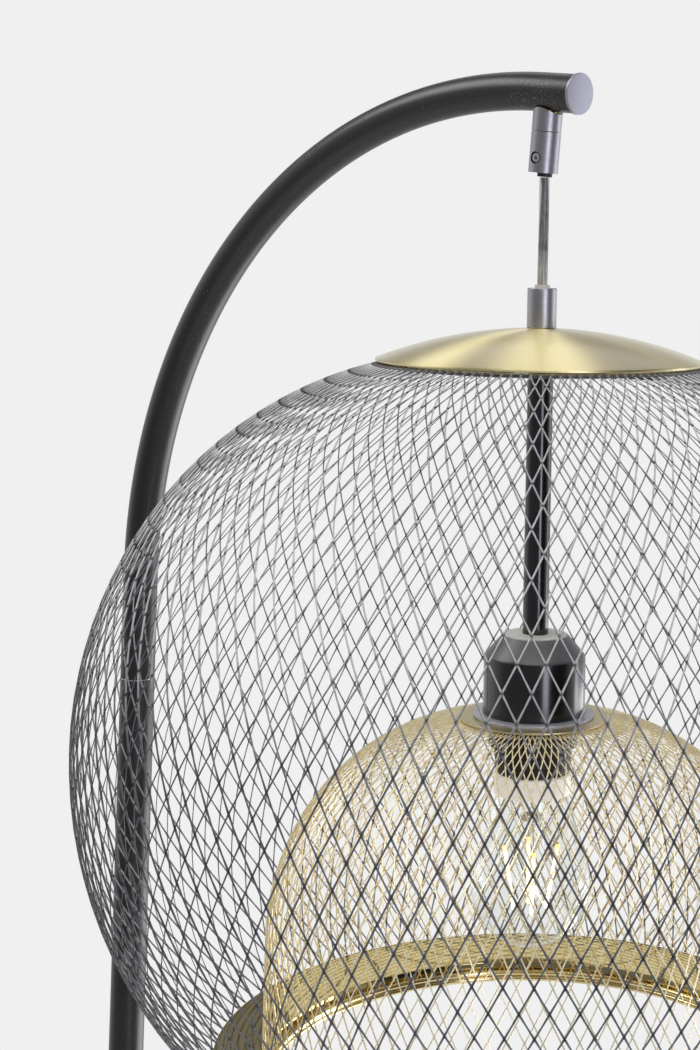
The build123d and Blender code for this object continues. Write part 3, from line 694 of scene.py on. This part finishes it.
shader = add_node(
    tree,
    "BsdfPrincipled",
    {
        "Base Color": tint,
        "Metallic": 1.0,
        "Roughness": gloss,
        "Anisotropic": 0.9,
        "Anisotropic Rotation": 0.25,
        "Coat Weight": 0.7,
        "Coat IOR": 1.7,
        "Coat Roughness": 0.2,
        "Normal": bump,
        "Tangent": grain,
    },
)
add_node(tree, "OutputMaterial", {"Surface": shader})
fit(cap, "shade", "brushed_brass", brass_brushed, "shade_cap")

# Outer shade: expanded steel sheet in tall diamonds, formed into a wide ball and powder coated.
# Its top edge is welded to a ring on a three-armed carrier under the cap.


def diamond_mesh(name, profile, count, strand, row, phase, drift, wide, knot, thick, lean):
    """Expanded metal on a surface of revolution. profile gives radius and height at even steps of arc
    length. Rows of knots lie sqrt(strand^2 - (pi radius / count)^2) apart, each shifted by half a
    diamond, and one row lies at the arc length row. phase turns the pattern by diamonds and drift by
    diamonds per row. A strand is a bar from knot to knot, leaning about its own line, wide at its middle,
    knot at its ends and thick across. The attribute near_knot is 1 at its ends and 0 at its middle."""
    step = np.linalg.norm(np.diff(profile, axis=0), axis=1)
    length = np.concatenate(((0,), np.cumsum(step)))
    gap = np.sqrt(strand**2 - (np.pi * profile[:, 0] / count) ** 2)
    tally = np.concatenate(((0,), np.cumsum(step * 2 / (gap[:-1] + gap[1:]))))
    tally = tally - np.interp(row, length, tally)
    rows = np.arange(math.floor(tally[0]), math.ceil(tally[-1]))
    which, slot, hand = np.meshgrid(rows, np.arange(count), (-1, 1), indexing="ij")
    which, slot, hand = which.ravel(), slot.ravel(), hand.ravel()
    low = np.maximum(which, tally[0])
    high = np.minimum(which + 1, tally[-1])
    keep = high - low > 0.05
    which, slot, hand, low, high = (a[keep] for a in (which, slot, hand, low, high))
    u = np.linspace(0, 1, 3)
    level = low[:, None] + (high - low)[:, None] * u
    since = level - which[:, None]
    turn = slot[:, None] + phase + 0.5 * which[:, None] + drift * level + 0.5 * hand[:, None] * since
    turn = turn * 2 * np.pi / count
    s = np.interp(level, tally, length)
    radius = np.interp(s, length, profile[:, 0])
    height = np.interp(s, length, profile[:, 1])
    slope = np.gradient(profile, length, axis=0)
    rise_r = np.interp(s, length, slope[:, 0])
    rise_z = np.interp(s, length, slope[:, 1])
    point = np.stack((radius * np.cos(turn), radius * np.sin(turn), height), -1)
    outward = np.stack((rise_z * np.cos(turn), rise_z * np.sin(turn), -rise_r), -1)
    heading = point[:, 2:] - point[:, :1]
    heading = heading / np.linalg.norm(heading, axis=2, keepdims=True)
    beside = np.cross(outward, heading)
    beside = beside / np.linalg.norm(beside, axis=2, keepdims=True)
    uphill = np.stack((rise_r * np.cos(turn), rise_r * np.sin(turn), rise_z), -1)
    beside = beside * np.sign((beside * uphill).sum(2, keepdims=True))
    flat = beside * math.cos(lean) - outward * math.sin(lean)
    face = outward * math.cos(lean) + beside * math.sin(lean)
    breadth = np.array((knot, wide, knot))[None, :, None]
    half = flat * breadth / 2
    deep = face * thick / 2
    corners = np.stack((half + deep, -half + deep, -half - deep, half - deep), 2)
    points = centre + (point[:, :, None] + corners) * mm
    hand_turn = np.einsum("ij,ij->i", np.cross(flat[:, 0], face[:, 0]), heading[:, 0]) > 0
    points[hand_turn] = points[hand_turn][:, :, ::-1]
    belt = np.arange(4)
    after = (belt + 1) % 4
    sides = [np.stack((belt + k, belt + k + 4, after + k + 4, after + k), -1) for k in (0, 4)]
    ends = np.array(((0, 1, 2, 3), (11, 10, 9, 8)))
    template = np.vstack((*sides, ends))
    faces = template[None] + 12 * np.arange(len(points))[:, None, None]
    mesh = bpy.data.meshes.new(name)
    mesh.from_pydata(points.reshape(-1, 3).tolist(), [], faces.reshape(-1, 4).tolist())
    near_knot = mesh.attributes.new("near_knot", "FLOAT", "POINT")
    near_knot.data.foreach_set("value", np.tile(np.repeat((1.0, 0.0, 1.0), 4), len(points)))
    piece = bpy.data.objects.new(name, mesh)
    scene.collection.objects.link(piece)
    return piece


shade_r, crown_r, bowl_r, mouth_drop, mesh_top_r, mesh_half = 224.6, 187.0, 201.3, 153.4, 80.0, 0.25
crown_turn = np.linspace(0, math.acos((mesh_top_r - shade_r + crown_r) / crown_r), 400)
bowl_turn = np.linspace(-math.asin(mouth_drop / bowl_r), 0, 400)[:-1]
bowl_in, crown_in = bowl_r - mesh_half, crown_r - mesh_half
bowl_line = np.stack((shade_r - bowl_r + bowl_in * np.cos(bowl_turn), bowl_in * np.sin(bowl_turn)), -1)
crown_line = np.stack((shade_r - crown_r + crown_in * np.cos(crown_turn), crown_in * np.sin(crown_turn)), -1)
bowl_length = bowl_in * abs(bowl_turn[0])
outer_profile = np.vstack((bowl_line, crown_line))
outer_shade = diamond_mesh(
    "outer_diamond_mesh",
    outer_profile,
    count=114,
    strand=12.78,
    row=bowl_length - 0.5,
    phase=0.925,
    drift=-0.027,
    wide=0.64,
    knot=0.94,
    thick=0.42,
    lean=math.radians(30),
)

# Graphite powder coat over expanded steel. Painted light and shade: pale satin grey on the outer faces of
# the upper half, where the light from above falls, dark grey below, mid grey inside, and painted shade on
# the thin cut edges. Darkest at the knots.
painted_light_origin, painted_light_rise = centre + (0, 0, 45 * mm), 0.9 / (200 * mm)
mesh_black, tree = new_material("powder_coat_on_expanded_steel")
place = add_node(tree, "TexCoord")
mottle = add_node(
    tree, "TexNoise", {"Vector": place.outputs["Object"], "Scale": 1 / (9 * mm), "Detail": 3.0}
)
# Painted light: faces turned outwards, and higher up, get a paler tint.
out = add_node(tree, "VectorMath", {0: place.outputs["Object"], 1: tuple(painted_light_origin)}, operation="SUBTRACT")
axes = add_node(tree, "SeparateXYZ", {0: out})
out = add_node(tree, "VectorMath", {0: out}, operation="NORMALIZE")
facing = add_node(tree, "VectorMath", {0: out, 1: place.outputs["Normal"]}, operation="DOT_PRODUCT")
painted_light_share = add_node(
    tree, "Math", {0: axes.outputs["Z"], 1: painted_light_rise, 2: facing.outputs["Value"]}, operation="MULTIPLY_ADD"
)
painted_light_share = add_node(tree, "Math", {0: mottle, 1: 0.2, 2: painted_light_share}, operation="MULTIPLY_ADD")
tint = add_node(
    tree,
    "ValToRGB",
    {"Fac": painted_light_share},
    stops=((0.2, "#929296"), (1.0, "#C4C4C4"), (0.5, "#66666A"), (0.82, "#66666A")),
)
# Painted shade on the cut edges, which face neither out nor in.
painted_edge_shade = add_node(tree, "MapRange", {"Value": facing.outputs["Value"], "From Min": -1.0})
painted_edge_shade = add_node(
    tree,
    "ValToRGB",
    {"Fac": painted_edge_shade},
    stops=((0.15, "#FFFFFF"), (0.9, "#FFFFFF"), (0.25, "#8A8A8A"), (0.75, "#8A8A8A")),
)
tint = add_node(tree, "VectorMath", {0: tint, 1: painted_edge_shade}, operation="MULTIPLY")
knots = add_node(tree, "Attribute", attribute_name="near_knot")
knots = add_node(
    tree, "ValToRGB", {"Fac": knots.outputs["Fac"]}, stops=((0.8, "#FFFFFF"), (0.96, "#7C7C7C"))
)
tint = add_node(tree, "VectorMath", {0: tint, 1: knots}, operation="MULTIPLY")
gloss = add_node(tree, "MapRange", {"Value": mottle, "To Min": 0.34, "To Max": 0.48})
shader = add_node(tree, "BsdfPrincipled", {"Base Color": tint, "Roughness": gloss})
add_node(tree, "OutputMaterial", {"Surface": shader})
fit(outer_shade, "shade", "black_mesh", mesh_black, "outer_mesh")
coat(mesh_black, "mesh_top_ring", "shade_spider")

# Down rod and lampholder cup: a steel sleeve and a spun aluminium cup with a coned shoulder, both in
# black lacquer. The sleeve slides over the threaded pipe and stands on the cup.
rod_r, rod_wall, rod_low, rod_high = 6.5, 1.3, 47.5, 178.0
rod_outline = soften(
    ((rod_r - rod_wall, rod_low), (rod_r, rod_low), (rod_r, rod_high), (rod_r - rod_wall, rod_high)), 0.2
)
rod = surface("down_rod_sleeve", (turned_grid(rod_outline, centre), True, True))
cup_r, cup_top_r, cup_wall, cup_low, cup_shoulder, cup_high = 25.5, 16.0, 1.6, 8.5, 36.7, 47.5
cup_outline = soften(
    (
        (pipe_hole, cup_high),
        (cup_top_r, cup_high),
        (cup_r, cup_shoulder),
        (cup_r, cup_low),
        (cup_r - cup_wall, cup_low),
        (cup_r - cup_wall, cup_shoulder - cup_wall / 2),
        (cup_top_r - cup_wall / 2, cup_high - cup_wall),
        (pipe_hole, cup_high - cup_wall),
    ),
    (0.2, 1.2, 1.6, 0.4, 0.3, 0.8, 0.8, 0.2),
    steps=7,
)
cup = surface("holder_cup_spun", (turned_grid(cup_outline, centre, turns=160), True, True))

# Black lacquer on aluminium: deep black with a clear gloss, so a strip light draws an upright band.
# Painted sheen: faces that look up are paled towards white and dulled, standing in for the light from above
# on them.
lacquer, tree = new_material("satin_lacquer_black")
place = add_node(tree, "TexCoord")
mottle = add_node(
    tree, "TexNoise", {"Vector": place.outputs["Object"], "Scale": 1 / (0.9 * mm), "Detail": 2.0}
)
axes = add_node(tree, "SeparateXYZ", {0: place.outputs["Normal"]})
# Painted sheen on the faces that look up.
painted_top_sheen = add_node(tree, "Math", {0: mottle, 1: 0.12, 2: axes.outputs["Z"]}, operation="MULTIPLY_ADD")
tint = add_node(
    tree, "ValToRGB", {"Fac": painted_top_sheen}, stops=((0.3, "#0C0C0D"), (1.0, "#F0F0E8"), (0.74, "#626261"))
)
gloss = add_node(
    tree, "MapRange", {"Value": painted_top_sheen, "From Min": 0.3, "From Max": 0.9, "To Min": 0.18, "To Max": 0.5}
)
shader = add_node(
    tree, "BsdfPrincipled", {"Base Color": tint, "Roughness": gloss, "Specular IOR Level": 0.9}
)
add_node(tree, "OutputMaterial", {"Surface": shader})
fit(rod, "shade", "black_satin", lacquer, "down_rod")
fit(cup, "shade", "black_satin", lacquer, "holder_cup")

# Flange and gold ring: two flat rings pressed from steel, the upper one lacquered grey, the lower one
# brass plated and welded to the inner mesh. The lampholder's ring clamps both against the cup.
holder_hole, flange_r, flange_low, gold_r, gold_low = 19.9, 30.35, 7.0, 37.0, 6.0
flange_outline = soften(
    ((holder_hole, flange_low), (flange_r, flange_low), (flange_r, cup_low), (holder_hole, cup_low)), 0.4
)
flange = surface("flange_pressed", (turned_grid(flange_outline, centre, turns=160), True, True))
gold_outline = soften(
    ((holder_hole, gold_low), (gold_r, gold_low), (gold_r, flange_low), (holder_hole, flange_low)), 0.3
)
gold_ring = surface("inner_shade_top_ring", (turned_grid(gold_outline, centre, turns=160), True, True))

# Grey satin lacquer: pale cool grey with a faint cloud.
grey_lacquer = clouded(
    "satin_lacquer_grey",
    5 * mm,
    3.0,
    ((0.3, "#B9B8BE"), (0.7, "#C9C8CD")),
    {"Metallic": 0.3, "Roughness": 0.35},
)
fit(flange, "shade", "flange_grey", grey_lacquer, "holder_flange")

# Satin brass plate: pale gold on pressed steel, a soft even sheen with cloudy tarnish.
satin_tints = ((0.3, "#CCBF96"), (0.7, "#D8CCA6"))
brass_satin = clouded("satin_brass_plate", 14 * mm, 4.0, satin_tints, {"Metallic": 1.0}, gloss=(0.32, 0.45))
fit(gold_ring, "shade", "gold_plate", brass_satin, "inner_top_ring")

# Lampholder: a black moulded body with a screwed ring that clamps both rings against the cup.
# Its skirt carries a fine outside thread, drawn as rings 1.2 mm apart.
ring_r, ring_low, holder_low, holder_tip_r, holder_bore, holder_top = 22.5, -7.0, -20.4, 18.5, 15.2, 30.0
holder_r, holder_crown_r, holder_cone, shell_seat = 19.8, 16.0, 6.0, 4.0
thread_pitch, thread_depth = 1.2, 0.35
rib_count, rib_depth = 48, 0.35


def ribbed_ring():
    """Clamp ring with upright ribs: radius falls by rib_depth times a softened cosine of the angle."""
    section = soften(
        ((holder_hole, ring_low), (ring_r, ring_low), (ring_r, gold_low), (holder_hole, gold_low)), 0.5
    )
    angle = np.linspace(0, 2 * np.pi, rib_count * 8, endpoint=False)
    dip = rib_depth * (0.5 - 0.5 * np.cos(rib_count * angle)) ** 2
    weight = np.clip((section[:, :1] - holder_hole) / (ring_r - holder_hole), 0, 1) ** 3
    radius = section[:, :1] - weight * dip
    height = np.broadcast_to(section[:, 1:], radius.shape)
    return centre + np.stack((radius * np.cos(angle), radius * np.sin(angle), height), -1) * mm


clamp_ring = surface("holder_clamp_ring", (ribbed_ring(), True, True), crease=50)
fall = np.linspace(ring_low, holder_low + 0.6, 90)
taper = (fall - ring_low) / (holder_low - ring_low)
groove = thread_depth * (0.5 + 0.5 * np.cos(2 * np.pi * fall / thread_pitch))
thread = holder_r + (holder_tip_r - holder_r) * taper - groove
body_outline = np.vstack(
    (
        ((0, holder_top), (holder_crown_r, holder_top)),
        ((holder_r, holder_top - holder_cone), (holder_r, ring_low + 0.5)),
        np.stack((thread, fall), -1),
        ((holder_tip_r - 0.4, holder_low), (holder_bore, holder_low)),
        ((holder_bore, shell_seat), (0, shell_seat)),
    )
)
holder_body = surface("holder_skirt_moulded", (turned_grid(body_outline, centre), True, False), crease=50)

# Black phenolic moulding: hard gloss black, with a trace of mould grain.
phenolic_tints = ((0.3, "#0F0E0E"), (0.7, "#171615"))
phenolic = clouded("moulded_phenolic_black", 1.5 * mm, 3.0, phenolic_tints, {}, gloss=(0.28, 0.4))
fit(clamp_ring, "shade", "black_plastic", phenolic, "holder_ring")
fit(holder_body, "shade", "black_plastic", phenolic, "holder_body")

# Inner shade: a finer expanded steel mesh, brass plated, quarter-round at the top with a straight
# skirt. Its top edge is welded to the gold ring and its foot to the mouth ring.
bell_mid_r, bell_bend, bell_mid_z, bell_low, bell_edge_r, bell_depth = 26.05, 104.0, -98.1, -168.5, 32.0, 0.4
bell_r = bell_bend - bell_depth
bell_turn = np.linspace(0, math.acos((bell_edge_r - bell_mid_r) / bell_r), 300)
skirt = np.linspace(bell_low, bell_mid_z, 200)[:-1]
inner_profile = np.vstack(
    (
        np.stack((np.full(len(skirt), bell_mid_r + bell_r), skirt), -1),
        np.stack((bell_mid_r + bell_r * np.cos(bell_turn), bell_mid_z + bell_r * np.sin(bell_turn)), -1),
    )
)
inner_shade = diamond_mesh(
    "inner_diamond_mesh",
    inner_profile,
    count=102,
    strand=8.54,
    row=bell_mid_z - bell_low + 11.2,
    phase=0.41,
    drift=0.0,
    wide=0.5,
    knot=0.66,
    thick=0.35,
    lean=math.radians(25),
)

# Bright brass plate on the fine mesh. Painted light and shade: pale gold on the faces turned outwards,
# where the light falls, and deeper gold on the faces turned inwards, which lie in shade.
bell_middle = centre - (0, 0, 110 * mm)
mesh_gold, tree = new_material("brass_plate_on_expanded_steel")
place = add_node(tree, "TexCoord")
cloud = add_node(tree, "TexNoise", {"Vector": place.outputs["Object"], "Scale": 1 / (8 * mm), "Detail": 3.0})
out = add_node(tree, "VectorMath", {0: place.outputs["Object"], 1: tuple(bell_middle)}, operation="SUBTRACT")
out = add_node(tree, "VectorMath", {0: out}, operation="NORMALIZE")
facing = add_node(tree, "VectorMath", {0: out, 1: place.outputs["Normal"]}, operation="DOT_PRODUCT")
# Painted light and shade: outward faces paler, inward faces deeper gold.
painted_light_on_gold = add_node(tree, "Math", {0: cloud, 1: 0.3, 2: facing.outputs["Value"]}, operation="MULTIPLY_ADD")
tint = add_node(tree, "ValToRGB", {"Fac": painted_light_on_gold}, stops=((0.1, "#F0D488"), (0.8, "#FFF6D0")))
gloss = add_node(tree, "MapRange", {"Value": cloud, "To Min": 0.22, "To Max": 0.34})
shader = add_node(tree, "BsdfPrincipled", {"Base Color": tint, "Metallic": 0.25, "Roughness": gloss})
add_node(tree, "OutputMaterial", {"Surface": shader})
fit(inner_shade, "shade", "gold_mesh", mesh_gold, "inner_mesh")

# Mouth ring and bottom plate: two polished brass beads inside the bell's foot, and a dished plate
# of rolled brass that closes the gap to the outer mesh.
bead_mid, bead_r, bead_heights = 127.65, 1.45, (-166.06, -169.06)
bead_turn = np.linspace(0, 2 * np.pi, 20, endpoint=False)
beads = []
for height in bead_heights:
    bead = np.stack((bead_mid + bead_r * np.cos(bead_turn), height + bead_r * np.sin(bead_turn)), -1)
    beads.append((turned_grid(bead, centre, turns=256), True, True))
web = np.array(((-0.5, 0), (0.5, 0), (0.5, 1), (-0.5, 1))) * (bead_r, bead_heights[0] - bead_heights[1])
beads.append((turned_grid(web + (bead_mid, bead_heights[1]), centre, turns=256), True, True))
mouth_ring = surface("mouth_ring_double_bead", *beads, crease=60)
plate_out, plate_in, plate_high, plate_dish, plate_t = 153.65, 130.05, -153.55, 7.5, 1.2
plate_lip = -166.5
plate_outline = soften(
    (
        (plate_out, plate_high),
        (plate_in, plate_high - plate_dish),
        (plate_in, plate_lip),
        (plate_in + plate_t, plate_lip),
        (plate_in + plate_t, plate_high - plate_dish - plate_t),
        (plate_out, plate_high - plate_t),
    ),
    0.35,
)
plate = surface("bottom_plate_dished", (turned_grid(plate_outline, centre, turns=256), True, True))

# Polished brass: mirror gold with a hint of buffing haze.
polished_tints = ((0.3, "#DCC68A"), (0.7, "#EAD9A6"))
brass_polished = clouded("polished_brass", 10 * mm, 3.0, polished_tints, {"Metallic": 1.0}, gloss=(0.1, 0.2))
fit(mouth_ring, "shade", "polished_brass", brass_polished, "inner_bottom_ring")

# Bright rolled brass plate: tan gold with a near-mirror face, in which both meshes show as dark lines.
rolled_tints = ((0.3, "#B5A572"), (0.7, "#C4B584"))
brass_rolled = clouded(
    "rolled_brass_plate", 14 * mm, 4.0, rolled_tints, {"Metallic": 1.0}, gloss=(0.02, 0.05)
)
fit(plate, "shade", "gold_plate", brass_rolled, "bottom_plate")

# Bulb: clear blown glass in a white collar, with a glass stem and four glowing filaments.
# It screws into the holder by its plated cap.
bulb_r, neck_r, glass_t, globe_z, collar_end, glass_top = 30.0, 17.4, 0.4, -75.4, -30.8, -22.1
collar_r, collar_hole, collar_bore, collar_high, collar_web = 19.2, 12.6, neck_r + 0.1, -20.8, 1.2
neck_rise = collar_end - globe_z
lean = math.atan2(neck_rise, neck_r) - math.acos(bulb_r / math.hypot(neck_r, neck_rise))


def glass_line(skin):
    """Bulb outline at a depth under the outer face: straight neck, an eased turn, a cone, a round globe."""
    radius = bulb_r - skin
    turn = np.linspace(lean, -math.pi / 2, 60)
    globe = np.stack((radius * np.cos(turn), globe_z + radius * np.sin(turn)), -1)
    globe[-1, 0] = 0
    corner = (neck_r - skin, collar_end - skin * math.tan(lean / 2))
    bend = soften(((neck_r - skin, glass_top), corner, globe[0]), (0, 9.0, 0), steps=13)
    return np.vstack((bend[:1], bend[13:26], globe))


glass_outline = np.vstack((glass_line(0), glass_line(glass_t)[::-1]))
glass = surface("bulb_blown_glass", (turned_grid(glass_outline, centre, turns=128), True, True), crease=60)
collar_outline = soften(
    (
        (collar_hole, collar_high),
        (collar_r, collar_high),
        (collar_r, collar_end),
        (collar_bore, collar_end),
        (collar_bore, collar_high - collar_web),
        (collar_hole, collar_high - collar_web),
    ),
    (0.1, 0.8, 0.6, 0.2, 0.2, 0.1),
)
collar = surface("bulb_collar_moulded", (turned_grid(collar_outline, centre), True, True))

# Clear soda-lime glass, blown thin: it hardly bends what lies behind, and shows by its reflections,
# which grow towards the edge and waver a little.
clear_glass, tree = new_material("clear_blown_glass")
place = add_node(tree, "TexCoord")
wave = add_node(tree, "TexNoise", {"Vector": place.outputs["Object"], "Scale": 1 / (18 * mm), "Detail": 1.0})
bump = add_node(tree, "Bump", {"Height": wave, "Strength": 0.1, "Distance": 0.5 * mm})
edge = add_node(tree, "Fresnel", {"IOR": 1.45, "Normal": bump})
side = add_node(tree, "NewGeometry")
front = add_node(tree, "Math", {0: 1.0, 1: side.outputs["Backfacing"]}, operation="SUBTRACT")
edge = add_node(tree, "Math", {0: edge, 1: front}, operation="MULTIPLY")
clear = add_node(tree, "BsdfTransparent", {"Color": linear("#FCFDFD")})
mirror = add_node(tree, "BsdfGlossy", {"Color": linear("#FFFFFF"), "Roughness": 0.02, "Normal": bump})
both = add_node(tree, "MixShader", {0: edge, 1: clear, 2: mirror})
add_node(tree, "OutputMaterial", {"Surface": both})
fit(glass, "bulb", "clear_glass", clear_glass, "bulb_glass")
coat(clear_glass, "bulb_stem")

# White moulded polymer: soft white, with a painted glow: a slight warm emission standing in for the bulb's
# light on it.
white_plastic = clouded(
    "moulded_white_polymer",
    2 * mm,
    3.0,
    ((0.3, "#E4E4E2"), (0.7, "#EDEDEB")),
    {"Roughness": 0.4, "Emission Color": linear("#FFF6E6"), "Emission Strength": 0.3},
)
fit(collar, "bulb", "white_plastic", white_plastic, "bulb_collar")
coat(white_plastic, "bulb_insulator")
coat(zinc, "bulb_cap")

# Warm phosphor on the filaments: glows nearly white, and yellow at the upper tips.
filament_tip = centre[2] - 56.6 * mm
glowing, tree = new_material("warm_phosphor")
place = add_node(tree, "TexCoord")
axes = add_node(tree, "SeparateXYZ", {0: place.outputs["Object"]})
near_tip = add_node(
    tree,
    "MapRange",
    {"Value": axes.outputs["Z"], "From Min": filament_tip - 5 * mm, "From Max": filament_tip},
)
tint = add_node(
    tree,
    "ValToRGB",
    {"Fac": near_tip},
    stops=((0.2, "#FFEBC4"), (1.0, "#221A08"), (0.7, "#FFC23A"), (0.96, "#FFC23A")),
)
shader = add_node(
    tree,
    "BsdfPrincipled",
    {
        "Base Color": linear("#D8D4C8"),
        "Roughness": 0.6,
        "Emission Color": tint,
        "Emission Strength": 1.7,
    },
)
add_node(tree, "OutputMaterial", {"Surface": shader})
coat(glowing, "bulb_filaments")
